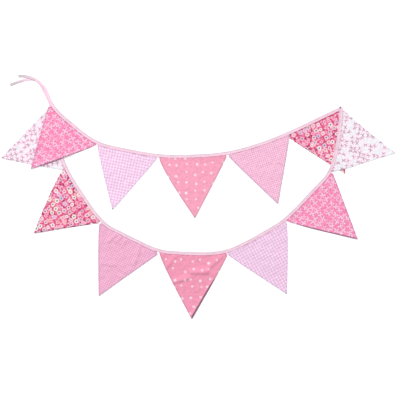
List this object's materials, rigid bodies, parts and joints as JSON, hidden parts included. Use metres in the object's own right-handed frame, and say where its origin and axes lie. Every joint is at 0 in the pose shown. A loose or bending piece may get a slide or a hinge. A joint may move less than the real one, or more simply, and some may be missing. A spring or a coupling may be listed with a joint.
{
  "type": "fabric bunting",
  "caption": "Fabric bunting laid flat: triangular cotton pennants in mixed pink prints held along one folded bias tape that folds back on itself, with a tie at each end.",
  "frame": {"origin": "centre of the laid-out bunting's box, on the surface that it lies on", "axes": "+X along the layout's length, to the right as seen from above; +Y up the layout, from the lowest pennant's tip towards the ties; +Z away from the surface"},
  "size_m": [1.0902, 0.6754, 0.0078],
  "materials": {
    "rose_bows": "plain-weave cotton, rose with a small repeat of pale bows",
    "pale_gingham": "woven cotton gingham, pale pink and white 4 mm checks",
    "pink_dots": "plain-weave cotton, pink with scattered pale dots",
    "fine_check": "woven cotton, fine pink and white check of about 6 mm",
    "crimson_floral": "plain-weave cotton, crimson packed with small round blossoms",
    "white_bows": "plain-weave cotton, white with a small repeat of mauve and pale aqua bows",
    "pink_tape": "cotton bias tape, very pale pink, edge-stitched"
  },
  "bodies": {
    "root": {"tape": "pink_tape", "pennant_01_rose": "rose_bows", "pennant_02_gingham": "pale_gingham", "pennant_03_dots": "pink_dots", "pennant_04_check": "fine_check", "pennant_05_floral": "crimson_floral", "pennant_06_white": "white_bows", "pennant_07_rose": "rose_bows", "pennant_08_gingham": "pale_gingham", "pennant_09_dots": "pink_dots", "pennant_10_check": "fine_check", "pennant_11_floral": "crimson_floral", "pennant_12_white": "white_bows"}
  },
  "joints": []
}
